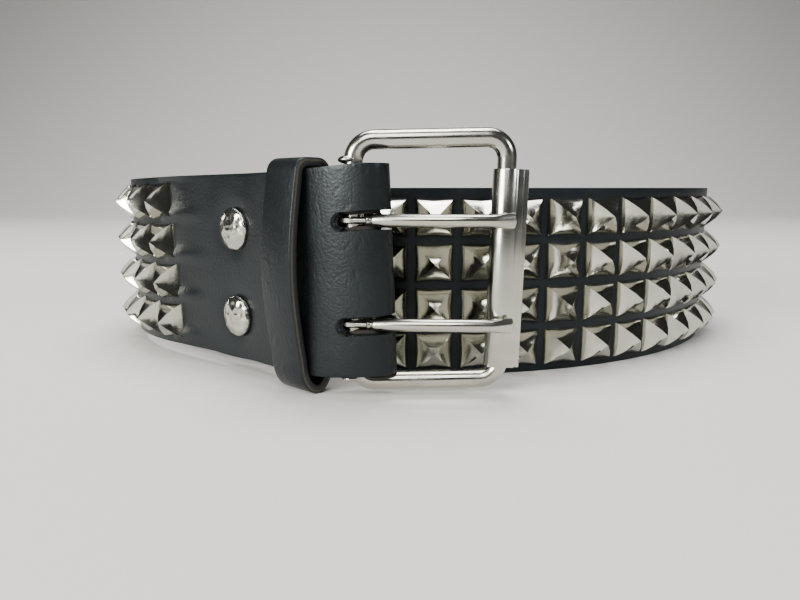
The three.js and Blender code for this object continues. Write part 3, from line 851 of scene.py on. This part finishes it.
# Roller. Thin steel sheet rolled loosely round the side bar, its two ends brought together in a
# flat lip that stands out sideways, one end a little short of the other.
roller_diameter = 7.8
roller_wall = 0.5
roller_length = 54.0
roller_place = Vector((17.181, -124.455, 35.9))
roller_axis = Vector((0.027318, 0, 0.999627))
lip_reach = 5.5
lip_front = 3.15
lip_thickness = 2.0
lip_step = 1.5
lip_step_depth = 0.8
sheet_edge_round = 0.18
arc_steps = 56

radius = roller_diameter / 2
lip_back = lip_front - lip_thickness
back_angle = -math.asin(lip_back / radius)
front_angle = 2 * math.pi - math.asin(lip_front / radius)
outline = [(lip_reach, -lip_back)]
for i in range(arc_steps + 1):
    angle = back_angle + (front_angle - back_angle) * i / arc_steps
    outline.append((radius * math.cos(angle), radius * math.sin(angle)))
outline += [(lip_reach - lip_step, -lip_front), (lip_reach - lip_step, lip_step_depth - lip_front),
            (lip_reach, lip_step_depth - lip_front)]
mesh = bpy.data.meshes.new("sheet_roller")
mesh.from_pydata([(x, y, -roller_length / 2) for x, y in outline], [], [list(range(len(outline)))])
roller = bpy.data.objects.new("sheet_roller", mesh)
bpy.context.scene.collection.objects.link(roller)
select_only(roller)
bpy.ops.object.mode_set(mode="EDIT")
bpy.ops.mesh.select_all(action="SELECT")
bpy.ops.mesh.extrude_region_move(TRANSFORM_OT_translate={"value": (0, 0, roller_length)})
bpy.ops.mesh.select_all(action="SELECT")
bpy.ops.mesh.normals_make_consistent(inside=False)
bpy.ops.object.mode_set(mode="OBJECT")
bpy.ops.object.select_all(action="DESELECT")
bpy.ops.mesh.primitive_cylinder_add(vertices=48, radius=radius - roller_wall, depth=2 * roller_length)
bore = bpy.context.object
hollow = roller.modifiers.new("bore", "BOOLEAN")
hollow.operation = "DIFFERENCE"
hollow.solver = "EXACT"
hollow.object = bore
soften = roller.modifiers.new("sheet_edge", "BEVEL")
soften.width = sheet_edge_round
soften.segments = 2
soften.limit_method = "ANGLE"
soften.angle_limit = math.radians(30)
apply_modifiers(roller)
bpy.data.objects.remove(bore)
lean = Vector((0, 0, 1)).rotation_difference(roller_axis).to_matrix().to_4x4()
roller.data.transform(Matrix.Scale(mm, 4) @ Matrix.Translation(roller_place) @ lean)
select_only(roller)
bpy.ops.object.shade_smooth_by_angle(angle=math.radians(30))
roller.data.materials.append(wire_nickel)
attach(roller, "roller")
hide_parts("roller")


# Prongs. Two nickel-plated wire tongues, each curled round the heel bar through its slot and
# flattened at the tip, where it rests on the roller.
prong_diameter = 3.5
prong_over_roller = 2.6
prong_tip_length = 6.0
prong_tip_flat = 0.45
prong_tip_spread = 1.2
prong_tip_round = 0.9
hook_thickness = 1.4
neck_radius = 0.85
neck_length = 3.2
neck_ring = 1.35
hook_height = 1.8
running_gap = 0.3
prong_levels = {"prong_upper": 49.4, "prong_lower": 21.2}

bar_radius = wire_diameter / 2 + running_gap
shank_radius = prong_diameter / 2
tip_x = frame_width + prong_over_roller
start_y = -(bar_radius + shank_radius / 2)
end_y = -(roller_diameter / 2 + running_gap + shank_radius)
shank_length = math.hypot(tip_x, end_y - start_y)
shank_turn = math.atan2(end_y - start_y, tip_x)
for name, level in prong_levels.items():
    bpy.ops.object.select_all(action="DESELECT")
    tip_round = [(shank_radius * math.cos(a), shank_length - prong_tip_round * (1 - math.sin(a)))
                 for a in [math.radians(15 * i) for i in range(1, 6)]]
    shank_profile = [(0, 0), (neck_radius, 0), (neck_radius, neck_length), (neck_ring, neck_length + 0.5),
                     (neck_ring, neck_length + 1), (neck_radius * 1.15, neck_length + 1.5),
                     (shank_radius - 0.3, neck_length + 1.8), (shank_radius, neck_length + 2.4),
                     *[(shank_radius, shank_length - prong_tip_length * (1 - i / 8)) for i in range(8)],
                     (shank_radius, shank_length - prong_tip_round), *tip_round, (0, shank_length)]
    shank = turn_profile(name + "_shank", shank_profile, 32)
    for vertex in shank.data.vertices:
        x, y, z = vertex.co
        tip = max((z - shank_length + prong_tip_length) / prong_tip_length, 0)
        thin = 1 - (1 - prong_tip_flat) * tip
        spread = 1 + (prong_tip_spread - 1) * min(2 * tip, 1)
        vertex.co = (z, shank_radius - (shank_radius - y) * thin, x * spread)
    shank.data.transform(Matrix.Translation((0, start_y, 0)) @ Matrix.Rotation(shank_turn, 4, "Z"))
    bpy.ops.object.mode_set(mode="EDIT")
    bpy.ops.mesh.select_all(action="SELECT")
    bpy.ops.mesh.normals_make_consistent(inside=False)
    bpy.ops.object.mode_set(mode="OBJECT")
    hook_profile = [(bar_radius, -hook_height / 2 + 0.3), (bar_radius + 0.3, -hook_height / 2),
                    (bar_radius + hook_thickness - 0.4, -hook_height / 2),
                    (bar_radius + hook_thickness, -hook_height / 2 + 0.4),
                    (bar_radius + hook_thickness, hook_height / 2 - 0.4),
                    (bar_radius + hook_thickness - 0.4, hook_height / 2),
                    (bar_radius + 0.3, hook_height / 2), (bar_radius, hook_height / 2 - 0.3),
                    (bar_radius, -hook_height / 2 + 0.3)]
    hook = turn_profile(name + "_hook", hook_profile, 40)
    prong = join_pieces([shank, hook], name + "_tongue")
    place = Vector((heel_place.x, heel_place.y, level))
    prong.data.transform(Matrix.Scale(mm, 4) @ Matrix.Translation(place))
    select_only(prong)
    bpy.ops.object.shade_smooth_by_angle(angle=math.radians(40))
    prong.data.materials.append(wire_nickel)
    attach(prong, name)
    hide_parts(name)
